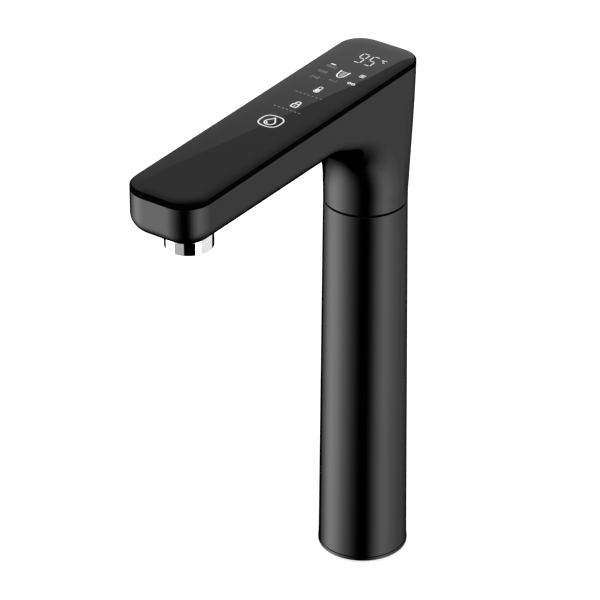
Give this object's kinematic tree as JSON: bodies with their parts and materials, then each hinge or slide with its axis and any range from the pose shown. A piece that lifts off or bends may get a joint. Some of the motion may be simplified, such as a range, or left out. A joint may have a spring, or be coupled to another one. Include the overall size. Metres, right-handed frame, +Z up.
{
  "type": "water dispenser tap",
  "caption": "Counter-top hot water tap with a round tapered column, a swivelling head, a long level arm with a black touch glass on top, and a chrome outlet under the tip.",
  "frame": {"origin": "centre of the base on the worktop, on the column axis, at the mouth of the shank thread", "axes": "+Z up along the column, the arm points along -Y, +X is to the right when seen from the front of the arm"},
  "size_m": [0.0508, 0.2147, 0.3078],
  "materials": {
    "satin_black": "satin black coating",
    "trim_grey": "satin dark grey",
    "black_glass": "polished, black from behind",
    "bezel_black": "gloss black",
    "chrome": "polished",
    "steel": "turned",
    "brass": "machined",
    "black_rubber": "matt",
    "silicone": "translucent white",
    "acetal": "natural white",
    "black_plastic": "matt black",
    "white_plastic": "diffusing white",
    "board_green": "green solder mask",
    "pad_foam": "conductive foam"
  },
  "bodies": {
    "column": {"base_ring": "trim_grey", "base_gasket": "black_rubber", "column_tube": "satin_black", "foot_insert": "brass", "riser_pipe": "steel", "swivel_bush": "acetal", "stop_pin": "steel", "thrust_washer": "black_plastic"},
    "head": {"neck_spigot": "steel", "spigot_ring": "black_rubber", "riser_seal": "black_rubber", "retaining_clip": "steel", "spigot_screws": "steel", "head_shell": "satin_black", "water_tube": "silicone", "outlet_fitting": "brass", "outlet_screws": "steel", "aerator_collar": "chrome", "aerator_gasket": "black_rubber", "aerator_insert": "acetal", "control_board": "board_green", "board_screws": "steel", "display_module": "black_plastic", "light_guide": "white_plastic", "sensor_pads": "pad_foam", "buzzer": "black_plastic", "lead_socket": "acetal", "panel_bezel": "bezel_black", "glass_panel": "black_glass"}
  },
  "joints": [
    {"name": "head_swivel", "type": "hinge", "parent": "column", "child": "head", "pos_m": [0, 0, 0.223], "axis": [0, 0, 1], "range_deg": [-90, 90]}
  ]
}
